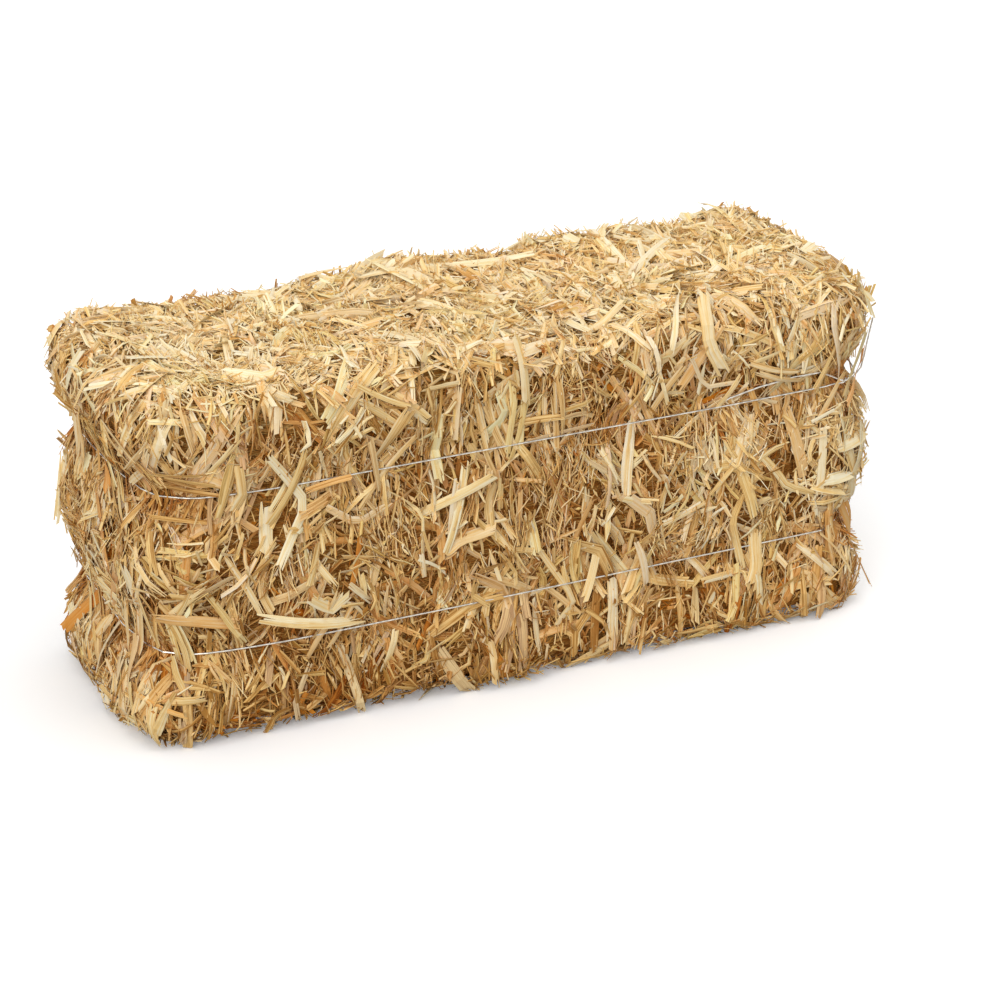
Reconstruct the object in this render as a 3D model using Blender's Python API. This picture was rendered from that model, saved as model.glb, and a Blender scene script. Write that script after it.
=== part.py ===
"""Decorative straw bale: eight pressed flakes of straw held by two tie wires.

Metres, +Z up. X runs along the bale, the long front face looks along -Y, and
the origin is on the ground under the middle of the bale. Each flake is one
charge of straw as the baling press pushed it in. Neighbours meet face to face
along flat seams, and both wires run right round the bale and bite into it.

A flake starts as a sliced block. Its points are first placed on a sharp box
as large as the bale, and bale_point() then wears the edges, draws the straw in
under the wires, presses a crease along each seam and raises lumps.
"""
import math
import random
from dataclasses import dataclass

import bmesh
import bpy
from mathutils import Vector, geometry, noise

# The pressed straw.
LENGTH = 0.718
WIDTH = 0.246
HEIGHT = 0.311
END_ROUND = 0.050
SIDE_ROUND = 0.028
TOP_ROUND = 0.030
BOTTOM_ROUND = 0.014
END_CROWN = 0.012
END_SKEW = 0.013
LUMP_HEIGHT = 0.006
LUMP_SCALE = Vector((13.0, 13.0, 7.0))
SETTLE_HEIGHT = 0.045
GAP = 0.0003

# The tie wires, and how far they draw the straw in.
LOWER_LEVEL = 0.084
UPPER_LEVEL = 0.224
WIRE_RADIUS = 0.0008
BAND = 0.005
PINCH_SPREAD = 0.020
SIDE_PINCH = 0.005
CORNER_PINCH = 0.007
END_PINCH = 0.018
END_PINCH_REACH = 0.090

# Seams between flakes: share of the length, depth of the crease, and how far
# the seam leans for each metre along Y and along Z.
SEAMS = (
    (0.165, 0.004, 0.05, -0.04),
    (0.296, 0.003, -0.04, 0.05),
    (0.385, 0.004, 0.06, 0.03),
    (0.510, 0.003, -0.05, -0.04),
    (0.613, 0.011, 0.02, -0.02),
    (0.734, 0.003, -0.06, 0.04),
    (0.861, 0.004, 0.03, -0.05),
)
FLAKES = len(SEAMS) + 1
CREASE_WIDTH = 0.009

# Places where the loose top swells or sags: x, y, rise and reach.
TOP_SWELLS = (
    (-0.330, 0.095, 0.008, 0.050),
    (-0.030, 0.105, 0.008, 0.050),
    (0.080, 0.105, 0.006, 0.045),
    (0.170, 0.080, 0.006, 0.050),
    (0.290, 0.095, 0.012, 0.032),
    (0.340, 0.060, -0.004, 0.035),
    (0.020, 0.030, -0.005, 0.040),
    (0.045, -0.040, -0.007, 0.040),
    (0.068, -0.105, -0.013, 0.040),
)

# Places where the front spreads or draws in near the ground: x, spread
# forwards and reach along the bale. LOW_REACH is how far up that goes.
FRONT_SWELLS = (
    (-0.335, -0.003, 0.045),
    (-0.015, 0.008, 0.040),
    (0.130, 0.005, 0.045),
    (0.235, 0.007, 0.060),
)
LOW_REACH = 0.050

# Where a flake is sliced, as shares of its thickness and of the bale's width.
FLAKE_STEPS = (0.13, 0.38, 0.62, 0.87)
END_STEPS = (0.10, 0.24, 0.42, 0.66, 0.88)
WIDTH_STEPS = (0.07, 0.16, 0.36, 0.64, 0.84, 0.93)

# Broad split straws that stand proud of a flake.
STRAW_SEED = 7
STRAWS_PER_FLAKE = 10
STRAWS_ON_END = 5
STRAW_LENGTH = (0.034, 0.070)
STRAW_WIDTH = (0.0055, 0.0095)
STRAW_PROUD = 0.0021
STRAW_SUNK = 0.0045
STRAW_SPACING = 0.014
STRAW_BELOW_WIRE = 0.011
STRAW_ABOVE_WIRE = 0.023
STRAW_FLOOR = 0.012

# The knot where a wire's two ends are twisted together.
STRAND_OFFSET = 0.00098
TWIST_LENGTH = 0.026
TWIST_TURNS = 2.25
POINTS_PER_TURN = 7
TWIST_BLEND = 0.035
LAP_BAND = 0.021
LAP_START = 0.120


@dataclass
class Tie:
    """One tie wire: its height, its knot and the wire's two ends.

    twist_rise is the knot's height above the wire. lap is the end that lies
    back along the bale, as (distance before the knot, rise above the wire).
    tail is the other end, as steps from the far side of the knot.
    """

    name: str
    level: float
    twist_rise: float
    lap: tuple
    tail: tuple


UPPER_TIE = Tie(
    name="upper_wire", level=UPPER_LEVEL, twist_rise=0.001,
    lap=((0.122, 0.004), (0.114, 0.0066), (0.085, 0.0115), (0.050, 0.0145),
         (0.022, 0.0140), (0.008, 0.0070)),
    tail=((0.005, 0.001, 0.004), (0.009, 0.003, 0.013), (0.012, 0.004, 0.025),
          (0.0145, 0.004, 0.037), (0.017, 0.004, 0.048)))
LOWER_TIE = Tie(
    name="lower_wire", level=LOWER_LEVEL, twist_rise=0.0,
    lap=((0.014, 0.0030), (0.007, 0.0016)),
    tail=((0.0008, 0.006, -0.0012), (0.002, 0.013, -0.004)))
UPPER_KNOT_FROM_END = 0.060


def smooth_step(value):
    """0 below 0, 1 above 1, and a smooth rise between."""
    value = min(max(value, 0.0), 1.0)
    return value * value * (3.0 - 2.0 * value)


def clamp(value, low, high):
    """The value, kept between low and high."""
    return min(max(value, low), high)


def band_height(height):
    """The wire's own height for a point in its flat band, else the height."""
    for level in (LOWER_LEVEL, UPPER_LEVEL):
        if abs(height - level) <= BAND * 1.001:
            return level
    return height


def pinch(height):
    """1 at a wire, falling to 0 away from it."""
    total = 0.0
    for level in (LOWER_LEVEL, UPPER_LEVEL):
        away = max(abs(height - level) - BAND, 0.0) / PINCH_SPREAD
        total += math.exp(-away * away)
    return total


def crease(x):
    """Depth of the creases that the seams leave at x."""
    depth = 0.0
    for share, deep, _, _ in SEAMS:
        away = (x - (share - 0.5) * LENGTH) / CREASE_WIDTH
        depth += deep * math.exp(-away * away)
    return depth


def wear_edges(point):
    """Moves a point of the sharp block onto the block with worn edges.

    Returns the new point and the direction that faces outwards there, which
    is zero for a point deep inside, where a seam is cut.
    """
    rise = BOTTOM_ROUND if point.z < HEIGHT / 2 else TOP_ROUND
    inner = Vector((
        clamp(point.x, END_ROUND - LENGTH / 2, LENGTH / 2 - END_ROUND),
        clamp(point.y, SIDE_ROUND - WIDTH / 2, WIDTH / 2 - SIDE_ROUND),
        clamp(point.z, BOTTOM_ROUND, HEIGHT - TOP_ROUND)))
    away = point - inner
    scaled = Vector((away.x / END_ROUND, away.y / SIDE_ROUND, away.z / rise))
    if scaled.length < 1e-6:
        return point.copy(), Vector((0.0, 0.0, 0.0))
    away /= scaled.length
    outward = Vector((away.x / END_ROUND ** 2, away.y / SIDE_ROUND ** 2, away.z / rise ** 2))
    return inner + away, outward.normalized()


def bale_point(point):
    """Moves a point of the sharp block onto the surface of the tied bale."""
    spot, outward = wear_edges(point)
    lump = noise.noise(Vector((
        spot.x * LUMP_SCALE.x, spot.y * LUMP_SCALE.y, band_height(spot.z) * LUMP_SCALE.z)))
    settled = smooth_step(spot.z / SETTLE_HEIGHT)
    spot += outward * settled * (LUMP_HEIGHT * lump - crease(point.x))

    grip = pinch(spot.z)
    near_end = smooth_step(1.0 - (LENGTH / 2 - abs(spot.x)) / END_PINCH_REACH)
    aside = spot.y / (WIDTH / 2)
    drawn_back = END_PINCH * grip + END_CROWN * aside * aside
    if spot.x > 0:
        drawn_back -= END_SKEW * aside
    spot.x -= math.copysign(near_end * drawn_back, spot.x)
    spot.y -= aside * grip * (SIDE_PINCH + CORNER_PINCH * near_end)
    if aside < 0:
        low = -aside * math.exp(-(spot.z / LOW_REACH) ** 2)
        for x, spread, reach in FRONT_SWELLS:
            spot.y -= low * spread * math.exp(-((spot.x - x) / reach) ** 2)

    loose_from = UPPER_LEVEL + 2 * BAND
    loose = smooth_step((spot.z - loose_from) / (HEIGHT - TOP_ROUND - loose_from))
    for x, y, rise, reach in TOP_SWELLS:
        away = math.hypot(spot.x - x, spot.y - y) / reach
        spot.z += loose * rise * math.exp(-away * away)
    return spot


def seam_x(number):
    """Upright place of seam `number`; the first and last are the bale's ends."""
    if number == 0:
        return -LENGTH / 2
    if number == FLAKES:
        return LENGTH / 2
    return (SEAMS[number - 1][0] - 0.5) * LENGTH


def seam_lean(number, spot):
    """How far seam `number` lies from its upright place at this y and z."""
    if number in (0, FLAKES):
        return 0.0
    _, _, lean_y, lean_z = SEAMS[number - 1]
    return lean_y * spot.y + lean_z * (spot.z - HEIGHT / 2)


def flake_spot(number, share, y, z):
    """Point of flake `number` at this share of its thickness.

    y and z lie on the outside of the sharp block. The point on a seam is half
    a gap short of the seam's plane.
    """
    x = seam_x(number) + share * (seam_x(number + 1) - seam_x(number))
    spot = bale_point(Vector((x, y, z)))
    if share < 1e-6 and number > 0:
        spot.x = seam_x(number) + seam_lean(number, spot) + GAP / 2
    elif share > 1 - 1e-6 and number + 1 < FLAKES:
        spot.x = seam_x(number + 1) + seam_lean(number + 1, spot) - GAP / 2
    else:
        before, after = seam_lean(number, spot), seam_lean(number + 1, spot)
        spot.x += before + share * (after - before)
    return spot


def height_steps():
    """Heights at which a flake is sliced, as shares of the bale's height."""
    heights = [BOTTOM_ROUND, SETTLE_HEIGHT, (LOWER_LEVEL + UPPER_LEVEL) / 2]
    for level in (LOWER_LEVEL, UPPER_LEVEL):
        heights += [level - PINCH_SPREAD, level - BAND, level + BAND, level + PINCH_SPREAD]
    heights += [HEIGHT - TOP_ROUND * 1.3, HEIGHT - TOP_ROUND / 2]
    return [height / HEIGHT for height in sorted(heights)]


def thickness_steps(number):
    """Shares of its thickness at which flake `number` is sliced."""
    if number == 0:
        return END_STEPS
    if number == FLAKES - 1:
        return tuple(1.0 - share for share in END_STEPS)
    return FLAKE_STEPS


def sliced_block(steps):
    """A unit block from the origin, sliced at the given shares of each axis."""
    block = bmesh.new()
    bmesh.ops.create_cube(block, size=1.0)
    bmesh.ops.translate(block, verts=block.verts, vec=(0.5, 0.5, 0.5))
    for axis, shares in enumerate(steps):
        normal = Vector((0.0, 0.0, 0.0))
        normal[axis] = 1.0
        for share in shares:
            bmesh.ops.bisect_plane(
                block, geom=block.verts[:] + block.edges[:] + block.faces[:],
                dist=1e-5, plane_co=normal * share, plane_no=normal)
    return block


def material(name, colour, roughness, metallic):
    """A plain Principled material."""
    made = bpy.data.materials.new(name)
    made.use_nodes = True
    shader = made.node_tree.nodes["Principled BSDF"]
    shader.inputs["Base Color"].default_value = (*colour, 1.0)
    shader.inputs["Roughness"].default_value = roughness
    shader.inputs["Metallic"].default_value = metallic
    return made


def place(name, data, surface):
    """Links a new object with this data and material."""
    made = bpy.data.objects.new(name, data)
    made.data.materials.append(surface)
    bpy.context.scene.collection.objects.link(made)
    return made


def place_shape(name, shape, surface):
    """Turns a bmesh into a linked object."""
    mesh = bpy.data.meshes.new(name)
    shape.to_mesh(mesh)
    shape.free()
    return place(name, mesh, surface)


def face_point(number, face, share, up):
    """A point of flake `number` on its front, back, top or end face.

    On the top, up runs along Y, and on an end, share does.
    """
    if face == "top":
        return flake_spot(number, share, (up - 0.5) * WIDTH, HEIGHT)
    if face == "end":
        end_share = 0.0 if number == 0 else 1.0
        return flake_spot(number, end_share, (share - 0.5) * WIDTH, up * HEIGHT)
    side = -WIDTH / 2 if face == "front" else WIDTH / 2
    return flake_spot(number, share, side, up * HEIGHT)


def clear_of_wires(spots):
    """True where a straw through these points leaves both wires their room."""
    low = min(spot.z for spot in spots)
    high = max(spot.z for spot in spots)
    for level in (LOWER_LEVEL, UPPER_LEVEL):
        if high > level - STRAW_BELOW_WIRE and low < level + STRAW_ABOVE_WIRE:
            return False
    return low > STRAW_FLOOR


def straw_line(number, face, rng):
    """A try at one straw's centre line on a face, as three points, or None."""
    wide = WIDTH if face == "end" else seam_x(number + 1) - seam_x(number)
    tall = WIDTH if face == "top" else HEIGHT
    share, up = rng.uniform(0.14, 0.86), rng.uniform(0.06, 0.94)
    turn = rng.uniform(0.0, math.pi) if face == "top" else rng.gauss(math.pi / 2, 0.6)
    reach = rng.uniform(*STRAW_LENGTH) / 2
    spots = []
    for step in (-1.0, 0.0, 1.0):
        at_share = share + step * reach * math.cos(turn) / wide
        at_up = up + step * reach * math.sin(turn) / tall
        if not (0.10 < at_share < 0.90 and 0.03 < at_up < 0.93):
            return None
        spots.append(face_point(number, face, at_share, at_up))
    if face != "top" and not clear_of_wires(spots):
        return None
    return spots


def outward_from(face, number, along):
    """Direction square to a straw that faces out of its face of the bale."""
    facing = {
        "front": Vector((0.0, -1.0, 0.0)),
        "back": Vector((0.0, 1.0, 0.0)),
        "top": Vector((0.0, 0.0, 1.0)),
        "end": Vector((-1.0 if number == 0 else 1.0, 0.0, 0.0))}[face]
    return (facing - along * facing.dot(along)).normalized()


def add_straw(shape, spots, across, outward):
    """Adds one flattened straw that follows the spots to a bmesh."""
    rings = []
    for spot in spots:
        inside, outside = spot - outward * STRAW_SUNK, spot + outward * STRAW_PROUD
        corners = (inside + across, inside - across, outside - across * 0.85, outside + across * 0.85)
        rings.append([shape.verts.new(corner) for corner in corners])
    shape.faces.new(rings[0])
    shape.faces.new(rings[-1])
    for ring, following in zip(rings, rings[1:]):
        for side in range(4):
            after = (side + 1) % 4
            shape.faces.new((ring[after], ring[side], following[side], following[after]))


def raised_straws(number, rng):
    """The broad straws that stand proud of flake `number`, as one bmesh."""
    faces = ["front", "front", "back", "back", "top"]
    wanted = STRAWS_PER_FLAKE
    if number in (0, FLAKES - 1):
        faces += ["end", "end"]
        wanted += STRAWS_ON_END
    shape = bmesh.new()
    taken = []
    for _ in range(100 * wanted):
        if len(taken) == wanted:
            break
        face = rng.choice(faces)
        spots = straw_line(number, face, rng)
        if not spots:
            continue
        samples = [spots[0].lerp(spots[-1], part / 6) for part in range(7)]
        if any((spot - other).length < STRAW_SPACING
               for line in taken for other in line for spot in samples):
            continue
        along = (spots[-1] - spots[0]).normalized()
        outward = outward_from(face, number, along)
        half_width = rng.uniform(*STRAW_WIDTH) / 2
        add_straw(shape, spots, along.cross(outward) * half_width, outward)
        taken.append(samples)
    bmesh.ops.recalc_face_normals(shape, faces=shape.faces)
    return shape


def build_flake(number, straw, rng):
    """Makes flake `number`, counted from the -X end, with its raised straws."""
    name = f"flake_{number + 1}"
    block = sliced_block((thickness_steps(number), WIDTH_STEPS, height_steps()))
    for vertex in block.verts:
        share, y, z = vertex.co
        vertex.co = flake_spot(number, share, (y - 0.5) * WIDTH, z * HEIGHT)
    block.normal_update()
    bmesh.ops.dissolve_limit(
        block, angle_limit=math.radians(0.05), verts=block.verts, edges=block.edges)
    bmesh.ops.triangulate(block, faces=[face for face in block.faces if len(face.verts) == 4])
    flake = place_shape(name, block, straw)

    raised = place_shape(f"{name}_straws", raised_straws(number, rng), straw)
    raised.hide_render = True
    raised.display_type = "WIRE"
    union = flake.modifiers.new("raised straws", "BOOLEAN")
    union.operation = "UNION"
    union.object = raised
    return flake


class Route:
    """The closed line that a taut wire follows, seen from above.

    It is the convex hull of the straw in the wire's band, moved out by the
    wire's radius and a gap. It starts in the middle of the front face and
    runs towards +X. Places on it are read by the distance from its start.
    """

    def __init__(self, flakes, level, lap_band):
        corners = self.offset(self.hull(flakes, level, lap_band))
        for index, corner in enumerate(corners):
            following = corners[(index + 1) % len(corners)]
            if corner.x < 0.0 <= following.x and corner.y < 0.0:
                start = corner.lerp(following, -corner.x / (following.x - corner.x))
                corners = [start] + corners[index + 1:] + corners[:index + 1]
                break
        self.corners = corners
        self.marks = [0.0]
        for corner, following in zip(corners, corners[1:] + corners[:1]):
            self.marks.append(self.marks[-1] + (following - corner).length)
        self.total = self.marks[-1]

    @staticmethod
    def hull(flakes, level, lap_band):
        """Convex hull of the straw at the wire, anticlockwise from above.

        lap_band is how far above the wire the straw also counts on the front
        near the +X end, where the wire's lapped end lies.
        """
        band = []
        for flake in flakes:
            for vertex in flake.data.vertices:
                rise = vertex.co.z - level
                beside_lap = vertex.co.x > LAP_START and vertex.co.y < -WIDTH / 4
                if abs(rise) < BAND * 1.1 or (beside_lap and 0 < rise < lap_band):
                    band.append(Vector(vertex.co.xy))
        hull = [band[index] for index in geometry.convex_hull_2d(band)]
        return sorted(hull, key=lambda spot: math.atan2(spot.y, spot.x))

    @staticmethod
    def offset(hull):
        """The hull, moved out until the wire just clears the straw."""
        facings = []
        for spot, following in zip(hull, hull[1:] + hull[:1]):
            edge = (following - spot).normalized()
            facings.append(Vector((edge.y, -edge.x)))
        moved = []
        for index, spot in enumerate(hull):
            facing = (facings[index - 1] + facings[index]).normalized()
            moved.append(spot + facing * (WIRE_RADIUS + GAP) / facing.dot(facings[index]))
        return moved

    def at(self, distance):
        """The point at this distance from the start."""
        distance %= self.total
        index = max(i for i, mark in enumerate(self.marks[:-1]) if mark <= distance)
        share = (distance - self.marks[index]) / (self.marks[index + 1] - self.marks[index])
        return self.corners[index].lerp(self.corners[(index + 1) % len(self.corners)], share)

    def stops(self, start, end):
        """Distances from start to end at which the route turns."""
        laps = [mark + lap * self.total for lap in (0, 1) for mark in self.marks[:-1]]
        least = 1.5 * WIRE_RADIUS
        kept = [start]
        for stop in laps:
            if stop - kept[-1] > least and end - stop > least:
                kept.append(stop)
        return kept + [end]

    def middle_of_end(self):
        """Distance to the middle of the bale's +X end."""
        for index, corner in enumerate(self.corners):
            following = self.corners[index + 1]
            if corner.y < 0.0 <= following.y:
                return self.marks[index] - corner.y * (
                    (self.marks[index + 1] - self.marks[index]) / (following.y - corner.y))
        return self.total / 4


def strand(route, twist_start, height, phase):
    """One of the two strands of a knot, as a list of points."""
    count = round(TWIST_TURNS * POINTS_PER_TURN)
    first, last = route.at(twist_start), route.at(twist_start + TWIST_LENGTH)
    along = (last - first).normalized()
    facing = Vector((along.y, -along.x))
    bulge = TWIST_LENGTH ** 2 / (8 * END_ROUND)
    points = []
    for step in range(count + 1):
        share = step / count
        angle = phase + math.tau * TWIST_TURNS * share
        out = 2 * STRAND_OFFSET + bulge + STRAND_OFFSET * math.cos(angle)
        spot = first.lerp(last, share) + facing * out
        points.append(Vector((*spot, height + STRAND_OFFSET * math.sin(angle))))
    return points


def wire_points(tie, route, twist_start):
    """The whole wire, from the tip of its lap to the tip of its tail.

    After the lap it runs through the knot, goes round the bale, comes back
    under the lap, runs through the knot again beside itself and ends.
    """
    knot_height = tie.level + tie.twist_rise
    over = strand(route, twist_start, knot_height, math.pi / 2)
    under = strand(route, twist_start, knot_height, -math.pi / 2)
    leave = twist_start + TWIST_LENGTH
    arrive = twist_start + route.total

    points = []
    for distance, rise in tie.lap:
        points.append(Vector((*route.at(twist_start - distance), tie.level + rise)))
    points += over
    for stop in route.stops(leave + 0.4 * TWIST_LENGTH, arrive - 0.3 * TWIST_LENGTH):
        to_knot = min(stop - leave, arrive - stop)
        end_height = over[-1].z if stop - leave < arrive - stop else under[0].z
        drawn = 1.0 - smooth_step(to_knot / TWIST_BLEND)
        points.append(Vector((*route.at(stop), tie.level + drawn * (end_height - tie.level))))
    points += under
    return points + [under[-1] + Vector(step) for step in tie.tail]


def build_wire(tie, route, twist_start, steel):
    """Makes one tie wire as a round tube."""
    points = wire_points(tie, route, twist_start)
    curve = bpy.data.curves.new(tie.name, "CURVE")
    curve.dimensions = "3D"
    curve.bevel_depth = WIRE_RADIUS
    curve.bevel_resolution = 1
    curve.use_fill_caps = True
    spline = curve.splines.new("POLY")
    spline.points.add(len(points) - 1)
    for target, point in zip(spline.points, points):
        target.co = (*point, 1.0)
    return place(tie.name, curve, steel)


def main():
    """Builds the whole bale."""
    for old in list(bpy.data.objects):
        bpy.data.objects.remove(old, do_unlink=True)
    straw = material("straw", (0.78, 0.60, 0.33), 0.75, 0.0)
    steel = material("galvanised_wire", (0.62, 0.62, 0.60), 0.38, 1.0)
    rng = random.Random(STRAW_SEED)
    flakes = [build_flake(number, straw, rng) for number in range(FLAKES)]

    upper_route = Route(flakes, UPPER_LEVEL, LAP_BAND)
    build_wire(UPPER_TIE, upper_route, LENGTH / 2 - UPPER_KNOT_FROM_END, steel)
    lower_route = Route(flakes, LOWER_LEVEL, 0.0)
    build_wire(LOWER_TIE, lower_route, lower_route.middle_of_end() - TWIST_LENGTH / 2, steel)


main()
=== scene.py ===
"""The looks of a small decorative straw bale, built around its CAD frame.

Each pressed flake of the frame is stood for by two pieces: its body, the
packed straw that shows between the stems, and its straws, a joined mesh of
many thousand single stems, strips, shreds and chaff that lie on that body. The
two tie wires stay as the frame has them and get a galvanised finish.
"""

import logging
import math
from dataclasses import dataclass, replace
from enum import Enum
from functools import reduce

import bmesh
import bpy
import numpy as np
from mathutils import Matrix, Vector
from mathutils.bvhtree import BVHTree
from mathutils.kdtree import KDTree


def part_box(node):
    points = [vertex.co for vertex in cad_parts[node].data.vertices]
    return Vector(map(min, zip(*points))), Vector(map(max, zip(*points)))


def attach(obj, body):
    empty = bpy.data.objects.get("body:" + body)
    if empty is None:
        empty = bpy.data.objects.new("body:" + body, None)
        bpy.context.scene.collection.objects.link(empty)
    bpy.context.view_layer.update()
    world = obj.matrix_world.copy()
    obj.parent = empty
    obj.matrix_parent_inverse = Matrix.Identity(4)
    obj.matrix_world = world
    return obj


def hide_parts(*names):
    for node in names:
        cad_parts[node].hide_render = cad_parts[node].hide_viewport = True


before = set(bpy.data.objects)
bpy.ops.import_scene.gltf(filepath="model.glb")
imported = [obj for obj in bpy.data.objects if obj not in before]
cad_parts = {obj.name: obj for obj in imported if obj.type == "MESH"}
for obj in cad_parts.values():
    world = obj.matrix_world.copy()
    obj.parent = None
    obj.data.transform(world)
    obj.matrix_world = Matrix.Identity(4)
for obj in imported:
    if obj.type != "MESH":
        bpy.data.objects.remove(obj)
log = logging.getLogger("straw_bale")

Array = np.ndarray
Pair = tuple[float, float]
Triple = tuple[float, float, float]
Colour = Triple
Rng = np.random.Generator
Socket = bpy.types.NodeSocket

ROOT = "root"
WIRE_SLOT = "tie_wire"
STRAW_UV = "along_straw"
# Colour attribute holding each straw piece's tone, tint and painted shade.
STRAW_LOOK = "straw_look"


def unit(vectors: Array) -> Array:
    """The vectors, each made one long."""
    return vectors / np.maximum(np.linalg.norm(vectors, axis=-1, keepdims=True), 1e-9)


def read(items: bpy.types.bpy_prop_collection, attribute: str, width: int, kind: type = float) -> Array:
    """Reads one attribute of every item.

    Args:
        items: Such as a mesh's vertices.
        attribute: The attribute's name.
        width: How many numbers it has.
        kind: Their type.

    Returns:
        One row for each item.
    """
    values = np.empty(len(items) * width, dtype=kind)
    items.foreach_get(attribute, values)
    return values.reshape(-1, width)


def write(items: bpy.types.bpy_prop_collection, attribute: str, values: Array,
          kind: type = np.float32) -> None:
    """Sets one attribute of every item, from one row for each."""
    items.foreach_set(attribute, values.reshape(-1).astype(kind))


def in_scene(name: str, data: bpy.types.ID) -> bpy.types.Object:
    """Puts a new object with this data in the scene.

    Args:
        name: The object's name.
        data: Its mesh, light or camera.

    Returns:
        The object, at the origin.
    """
    made = bpy.data.objects.new(name, data)
    bpy.context.scene.collection.objects.link(made)
    return made


class Side(Enum):
    """A side of the bale, with the direction that it faces."""

    FRONT = (0.0, -1.0, 0.0)
    LEFT_END = (-1.0, 0.0, 0.0)

    def spot(self, low: Array, high: Array, along: float, up: float) -> Array:
        """A place on this side of a box.

        Args:
            low: Lowest corner of the box.
            high: Highest corner.
            along: Share of the way along X, or from the front on an end.
            up: Share of the way up.

        Returns:
            The place.
        """
        facing = np.array(self.value)
        first, second = np.flatnonzero(facing == 0.0)
        place = np.where(facing > 0.0, high, low)
        place[first] = low[first] + along * (high - low)[first]
        place[second] = low[second] + up * (high - low)[second]
        return place


class Bundling(Enum):
    """A way in which straws lie together in a bundle."""

    FAN = 0
    SWATH = 1
    SHEAF = 2


class Section(Enum):
    """The cross-section of one rib of straw.

    Each point is (across, top): its place across in half widths, and 1 where
    it is on the outer face, 0 on the inner face, or between on an edge.
    """

    RIB = ((-1.0, 0.92), (0.0, 1.0), (1.0, 0.92), (0.0, 0.0))
    SHRED = ((-1.0, 0.0), (0.0, 1.0), (1.0, 0.0))


@dataclass(frozen=True)
class StrawCut:
    """One size of straw piece and how it lies in the bale, in metres.

    Attributes:
        name: What a maker would call the piece.
        density: Pieces for each square metre of the bale's surface.
        length: Shortest and longest piece.
        width: Narrowest and widest piece.
        section: Cross-section of each rib.
        ribs: Strips that the piece is split into along its length.
        rings: Sections along the piece, tips not counted.
        pointed: Whether both ends run out to a point.
        thickness: Wall of the flattened stem.
        arch: Height of the arch, in half widths.
        lift: Deepest and highest the middle lies from the bale's skin.
        tilt: How much one end may lie higher than the other.
        roll: Spread of the turn about the piece's own length, in radians.
        tone: Mean and spread of the lightness, from 0 to 1.
        bundled: Share of the pieces that lie in fans, in swaths and in sheaves.
        bridging: Least and most that a piece runs straight over dents and wires.
    """

    name: str
    density: float
    length: Pair
    width: Pair
    section: Section
    ribs: int
    rings: int
    pointed: bool
    thickness: float
    arch: float
    lift: Pair
    tilt: float
    roll: float
    tone: Pair
    bundled: Triple
    bridging: Pair = (0.0, 0.7)

    @property
    def rests(self) -> bool:
        """Whether the pieces lie on top of everything, the wires too."""
        return self.bridging[0] > 0.5


BROAD = StrawCut("broad blades", 130, (0.045, 0.110), (0.0050, 0.0125), Section.RIB, 3, 8, False,
                 0.0005, 0.14, (-0.0006, 0.0012), 0.004, 0.20, (0.70, 0.14), (0.25, 0.0, 0.15), (0.7, 1.0))

CUTS = (
    StrawCut("loose blades", 165, (0.026, 0.090), (0.0035, 0.0085), Section.RIB, 2, 6, False,
             0.0005, 0.14, (-0.0010, 0.0014), 0.004, 0.30, (0.72, 0.17), (0.0, 0.0, 0.0), (0.6, 1.0)),
    StrawCut("blades", 840, (0.026, 0.095), (0.0055, 0.0130), Section.RIB, 3, 6, False,
             0.0005, 0.12, (-0.0045, 0.0016), 0.005, 0.25, (0.65, 0.20), (0.35, 0.0, 0.0)),
    StrawCut("split stems", 1800, (0.020, 0.068), (0.0038, 0.0085), Section.RIB, 2, 4, False,
             0.0005, 0.14, (-0.0062, 0.0014), 0.005, 0.32, (0.61, 0.19), (0.35, 0.15, 0.0)),
    StrawCut("strips", 11000, (0.012, 0.054), (0.0018, 0.0052), Section.RIB, 1, 4, False,
             0.0005, 0.16, (-0.0075, 0.0014), 0.006, 0.50, (0.53, 0.20), (0.20, 0.30, 0.12)),
    StrawCut("shreds", 27500, (0.009, 0.036), (0.0008, 0.0022), Section.SHRED, 1, 3, False,
             0.0005, 0.25, (-0.0080, 0.0014), 0.006, 0.80, (0.47, 0.22), (0.05, 0.20, 0.45)),
    StrawCut("chaff", 15500, (0.005, 0.015), (0.0014, 0.0038), Section.SHRED, 1, 1, True,
             0.0003, 0.12, (-0.0075, 0.0012), 0.004, 0.80, (0.48, 0.24), (0.1, 0.1, 0.1)),
    BROAD,
)

PLACED = replace(BROAD, name="placed blades", roll=0.18)


@dataclass(frozen=True)
class LooseStraw:
    """A few broad straws alike, laid together where a wire draws the straw in.

    Attributes:
        side: The side that it lies on.
        along: Share of the way along X, or from the front on an end.
        up: Share of the way up.
        turn: Degrees from upright; see heading().
        length: In metres.
        width: In metres.
        tone: Lightness, from 0 to 1.
        tint: Place among the tints.
        count: How many lie together.
    """

    side: Side
    along: float
    up: float
    turn: float
    length: float
    width: float
    tone: float
    tint: float
    count: int


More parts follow.
